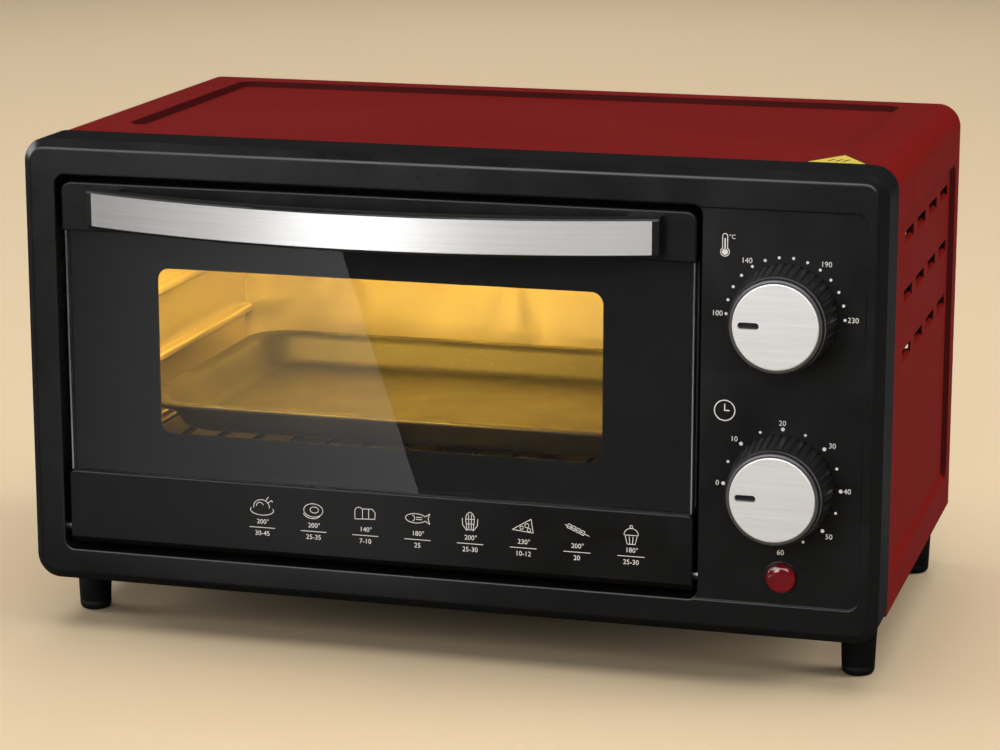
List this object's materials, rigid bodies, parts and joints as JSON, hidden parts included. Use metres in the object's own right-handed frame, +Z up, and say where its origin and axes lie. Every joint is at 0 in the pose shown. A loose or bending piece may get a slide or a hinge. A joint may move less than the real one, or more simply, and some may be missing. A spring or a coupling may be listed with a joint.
{
  "type": "toaster oven",
  "caption": "Countertop toaster oven with a drop-down glass door, a bowed handle, turning temperature and timer knobs, and a rack that comes forward with the door.",
  "frame": {"origin": "on the table under the centre of the oven's bounding box", "axes": "+Z up; the door and knobs face -Y; +X is the viewer's right, the control side"},
  "size_m": [0.36, 0.2452, 0.2105],
  "materials": {
    "red_paint": "satin paint",
    "black_frame": "fine satin",
    "gloss_black": "gloss",
    "black_steel": "satin paint",
    "galvanised": "galvanised sheet",
    "liner": "aluminised sheet",
    "chrome": "bright plating",
    "heater_sheath": "heat-dulled steel",
    "ceramic": "unglazed ceramic",
    "door_glass": "tempered glass, dark border",
    "enamel": "dark non-stick enamel",
    "grip_black": "satin",
    "brushed_facing": "brushed",
    "steel": "plain steel",
    "knob_black": "satin",
    "lamp_red": "translucent red",
    "device_white": "moulded insulator",
    "foot_rubber": "dull",
    "wire_skin": "heat-proof sleeve",
    "brass_bell": "plain"
  },
  "bodies": {
    "housing": {"front_frame": "black_frame", "outer_housing": "red_paint", "base_plate": "galvanised", "rear_panel": "black_steel", "cord_gland": "grip_black", "foot_screws": "steel", "rear_screws": "steel", "inner_cavity": "liner", "heater_insulators": "ceramic", "crumb_tray": "liner", "heat_shield": "galvanised", "thermostat": "device_white", "timer": "device_white", "timer_bell": "brass_bell", "control_bracket": "galvanised", "control_screws": "steel", "lamp_lens": "lamp_red", "lamp_holder": "device_white", "terminal_block": "device_white", "wiring": "wire_skin", "hinge_pin_left": "steel", "hinge_pin_right": "steel", "hinge_bracket_left": "galvanised", "hinge_bracket_right": "galvanised", "wall_spacer_left": "grip_black", "wall_spacer_right": "grip_black", "foot_front_left": "foot_rubber", "foot_front_right": "foot_rubber", "foot_rear_left": "foot_rubber", "foot_rear_right": "foot_rubber", "upper_front_heater": "heater_sheath", "upper_rear_heater": "heater_sheath", "lower_front_heater": "heater_sheath", "lower_rear_heater": "heater_sheath"},
    "door": {"door_top_rail": "gloss_black", "door_bottom_rail": "gloss_black", "door_glass": "door_glass", "glass_mask": "black_steel", "door_inner_panel": "liner", "door_panel_screws": "steel", "handle_bar": "grip_black", "handle_strip": "brushed_facing", "handle_screws": "steel", "rack_arm_left": "galvanised", "rack_arm_right": "galvanised"},
    "rack": {"wire_rack": "chrome", "baking_tray": "enamel"},
    "temperature_control": {"temperature_knob": "knob_black", "temperature_cap": "brushed_facing", "thermostat_shaft": "steel"},
    "timer_control": {"timer_knob": "knob_black", "timer_cap": "brushed_facing", "timer_shaft": "steel"}
  },
  "joints": [
    {"name": "door_hinge", "type": "hinge", "parent": "housing", "child": "door", "pos_m": [-0.0288, -0.0884, 0.044], "axis": [1, 0, 0], "range_deg": [0, 90]},
    {"name": "rack_slide", "type": "slide", "parent": "housing", "child": "rack", "axis": [0, -1, 0], "range_m": [0, 0.055]},
    {"name": "temperature_turn", "type": "hinge", "parent": "housing", "child": "temperature_control", "pos_m": [0.1406, -0.0954, 0.1533], "axis": [0, 1, 0], "range_deg": [0, 180]},
    {"name": "timer_turn", "type": "hinge", "parent": "housing", "child": "timer_control", "pos_m": [0.1406, -0.0954, 0.0847], "axis": [0, 1, 0], "range_deg": [0, 270]}
  ],
  "couplings": [
    {"joint": "rack_slide", "follows": "door_hinge", "m_per_rad": 0.035}
  ]
}
